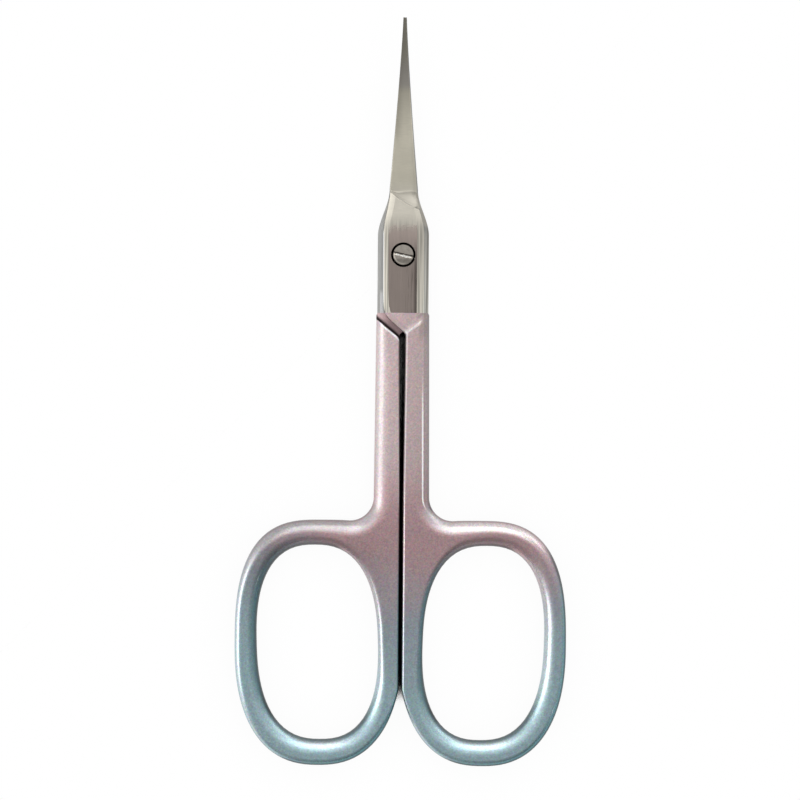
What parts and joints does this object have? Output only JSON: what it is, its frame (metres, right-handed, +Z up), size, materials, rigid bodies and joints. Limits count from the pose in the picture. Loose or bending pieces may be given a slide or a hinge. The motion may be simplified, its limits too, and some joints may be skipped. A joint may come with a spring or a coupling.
{
  "type": "beauty scissors",
  "caption": "Small cuticle scissors with slim blades that curve up, a lap joint on a flush slotted screw, straight shanks and large oval finger rings with a pearl lacquer.",
  "frame": {"origin": "on the pivot axis, at the level of the underside on which the closed scissors rest", "axes": "+Z up along the pivot axis, from the underside to the screw head; +Y from the pivot towards the blade tips; +X towards the finger ring of the front half"},
  "size_m": [0.0422, 0.095, 0.005],
  "materials": {
    "pearl_lacquer": "gloss",
    "bare_steel": "satin"
  },
  "bodies": {
    "back": {"back_half": "pearl_lacquer", "pivot_screw": "bare_steel"},
    "front": {"front_half": "pearl_lacquer"}
  },
  "joints": [
    {"name": "pivot", "type": "hinge", "parent": "back", "child": "front", "pos_m": [0, 0, 0], "axis": [0, 0, 1], "range_deg": [0, 55]}
  ]
}
